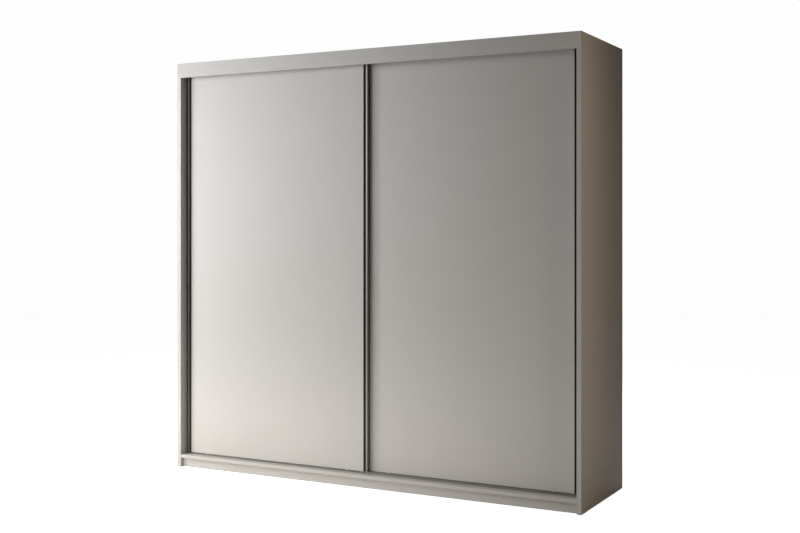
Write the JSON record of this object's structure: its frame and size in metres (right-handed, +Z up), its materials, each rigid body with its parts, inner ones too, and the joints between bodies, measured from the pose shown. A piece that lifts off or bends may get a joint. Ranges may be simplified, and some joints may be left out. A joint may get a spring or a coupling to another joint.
{
  "type": "sliding door wardrobe",
  "caption": "Tall free-standing wardrobe in plain matte grey board, with two flush sliding doors on a double track, slim metal edge grips, shelves on the left and a hanging rail on the right.",
  "frame": {"origin": "on the floor, under the middle of the wardrobe's outline", "axes": "+X to the right seen from the front, +Y towards the wall behind, +Z up; the doors face -Y"},
  "size_m": [2.2, 0.6, 2.1],
  "materials": {
    "laminate": "melamine-faced particle board, matte warm grey, fine orange-peel texture",
    "back_board": "lacquered hardboard, matte, slightly lighter grey",
    "aluminium": "satin anodised extrusion, drawn lines along its length",
    "steel": "zinc-plated, satin",
    "nylon": "moulded nylon, off-white",
    "dark_plastic": "moulded, dark grey",
    "brush_pile": "woven-back pile strip, near black"
  },
  "bodies": {
    "carcass": {"left_side_panel": "laminate", "right_side_panel": "laminate", "top_panel": "laminate", "bottom_panel": "laminate", "front_fascia": "laminate", "front_plinth": "laminate", "rear_plinth": "laminate", "plinth_cross_rail": "laminate", "centre_partition": "laminate", "left_top_shelf": "laminate", "right_top_shelf": "laminate", "left_shelf_1": "laminate", "left_shelf_2": "laminate", "left_shelf_3": "laminate", "left_shelf_4": "laminate", "left_back_panel": "back_board", "right_back_panel": "back_board", "hanging_rail": "steel", "rail_socket_left": "steel", "rail_socket_right": "steel", "wall_bracket_left": "steel", "wall_bracket_right": "steel", "top_track": "aluminium", "bottom_track": "aluminium", "track_stop_front_left": "dark_plastic", "track_stop_front_right": "dark_plastic", "track_stop_rear_left": "dark_plastic", "track_stop_rear_right": "dark_plastic", "glide_left_front": "dark_plastic", "glide_left_rear": "dark_plastic", "glide_centre_front": "dark_plastic", "glide_centre_rear": "dark_plastic", "glide_right_front": "dark_plastic", "glide_right_rear": "dark_plastic"},
    "left_door": {"left_door_panel": "laminate", "left_door_outer_handle_profile": "aluminium", "left_door_inner_handle_profile": "aluminium", "left_door_outer_carriage": "nylon", "left_door_inner_carriage": "nylon", "left_door_outer_axle": "steel", "left_door_inner_axle": "steel", "left_door_outer_guide": "nylon", "left_door_inner_guide": "nylon", "left_door_edge_brush": "brush_pile", "left_door_meeting_brush": "brush_pile"},
    "right_door": {"right_door_panel": "laminate", "right_door_outer_handle_profile": "aluminium", "right_door_inner_handle_profile": "aluminium", "right_door_outer_carriage": "nylon", "right_door_inner_carriage": "nylon", "right_door_outer_axle": "steel", "right_door_inner_axle": "steel", "right_door_outer_guide": "nylon", "right_door_inner_guide": "nylon", "right_door_edge_brush": "brush_pile"},
    "left_outer_wheel": {"left_door_outer_wheel": "nylon"},
    "left_inner_wheel": {"left_door_inner_wheel": "nylon"},
    "right_outer_wheel": {"right_door_outer_wheel": "nylon"},
    "right_inner_wheel": {"right_door_inner_wheel": "nylon"}
  },
  "joints": [
    {"name": "left_door_slide", "type": "slide", "parent": "carcass", "child": "left_door", "axis": [1, 0, 0], "range_m": [0, 1.055]},
    {"name": "right_door_slide", "type": "slide", "parent": "carcass", "child": "right_door", "axis": [1, 0, 0], "range_m": [-1.055, 0]},
    {"name": "left_outer_wheel_spin", "type": "hinge", "parent": "left_door", "child": "left_outer_wheel", "pos_m": [-0.946, -0.246, 0.0852], "axis": [0, 1, 0], "range_deg": [0, 5497]},
    {"name": "left_inner_wheel_spin", "type": "hinge", "parent": "left_door", "child": "left_inner_wheel", "pos_m": [-0.109, -0.246, 0.0852], "axis": [0, 1, 0], "range_deg": [0, 5497]},
    {"name": "right_outer_wheel_spin", "type": "hinge", "parent": "right_door", "child": "right_outer_wheel", "pos_m": [0.946, -0.222, 0.0852], "axis": [0, 1, 0], "range_deg": [-5497, 0]},
    {"name": "right_inner_wheel_spin", "type": "hinge", "parent": "right_door", "child": "right_inner_wheel", "pos_m": [0.109, -0.222, 0.0852], "axis": [0, 1, 0], "range_deg": [-5497, 0]}
  ],
  "couplings": [
    {"joint": "left_outer_wheel_spin", "follows": "left_door_slide", "rad_per_m": 90.909},
    {"joint": "left_inner_wheel_spin", "follows": "left_door_slide", "rad_per_m": 90.909},
    {"joint": "right_outer_wheel_spin", "follows": "right_door_slide", "rad_per_m": 90.909},
    {"joint": "right_inner_wheel_spin", "follows": "right_door_slide", "rad_per_m": 90.909}
  ]
}
